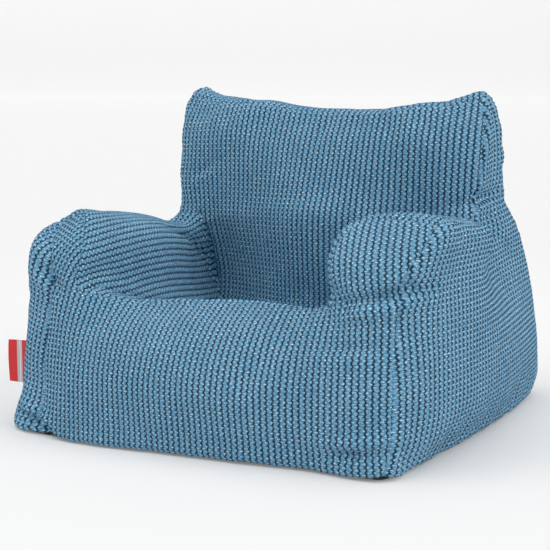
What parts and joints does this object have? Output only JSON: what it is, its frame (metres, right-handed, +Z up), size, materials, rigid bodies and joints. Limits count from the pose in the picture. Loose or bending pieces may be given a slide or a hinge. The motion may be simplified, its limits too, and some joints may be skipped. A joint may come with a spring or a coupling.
{
  "type": "bean bag chair",
  "caption": "Low bean bag armchair with a raised back and two rounded arms: a ribbed fabric cover of sewn panels over a zipped liner full of beads.",
  "frame": {"origin": "middle of the flat underside, on the floor plane", "axes": "+Z up from the underside, the chair faces -Y, +X is on the right of someone looking at its front"},
  "size_m": [1.0582, 1.0037, 0.7463],
  "materials": {
    "ribbed_fabric": "wide-ribbed blue chenille cord with dark grooves and pale flecks",
    "base_fabric": "black woven polyester",
    "liner_fabric": "off-white non-woven liner",
    "beads": "white expanded polystyrene beads",
    "zip_tape": "dark blue woven zip tape with nylon coils",
    "zip_metal": "nickel-plated zip metal",
    "label_red": "plain red woven tab, no lettering",
    "label_hem": "pale grey woven hem tape",
    "care_label": "blank white satin"
  },
  "bodies": {
    "chair": {"arm_inner_panel_left": "ribbed_fabric", "arm_inner_panel_right": "ribbed_fabric", "back_front_panel": "ribbed_fabric", "back_rear_panel": "ribbed_fabric", "base_panel": "base_fabric", "bead_fill": "beads", "care_label": "care_label", "cover_zip_lower_tape": "zip_tape", "cover_zip_stop_left": "zip_metal", "cover_zip_stop_right": "zip_metal", "cover_zip_upper_tape": "zip_tape", "front_panel": "ribbed_fabric", "inner_liner": "liner_fabric", "liner_zip_lower_tape": "zip_tape", "liner_zip_stop_left": "zip_metal", "liner_zip_stop_right": "zip_metal", "liner_zip_upper_tape": "zip_tape", "seat_panel": "ribbed_fabric", "side_label_hem": "label_hem", "side_panel_left": "ribbed_fabric", "side_panel_right": "ribbed_fabric"},
    "cover_slider": {"cover_zip_slider": "zip_metal"},
    "liner_slider": {"liner_zip_slider": "zip_metal"},
    "zip_flap": {"cover_zip_flap": "ribbed_fabric"},
    "label_tab": {"side_label": "label_red"}
  },
  "joints": [
    {"name": "cover_zip_slide", "type": "slide", "parent": "chair", "child": "cover_slider", "axis": [-1, 0, 0], "range_m": [0, 0.478]},
    {"name": "liner_zip_slide", "type": "slide", "parent": "chair", "child": "liner_slider", "axis": [-1, 0, 0], "range_m": [0, 0.378]},
    {"name": "zip_flap_hinge", "type": "hinge", "parent": "chair", "child": "zip_flap", "pos_m": [0, 0.4808, 0.107], "axis": [1, 0, 0], "range_deg": [0, 110]},
    {"name": "side_label_hinge", "type": "hinge", "parent": "chair", "child": "label_tab", "pos_m": [-0.54355, -0.35, 0.134], "axis": [0, 0, 1], "range_deg": [-60, 60], "stiffness_Nm_per_rad": 0.002}
  ]
}
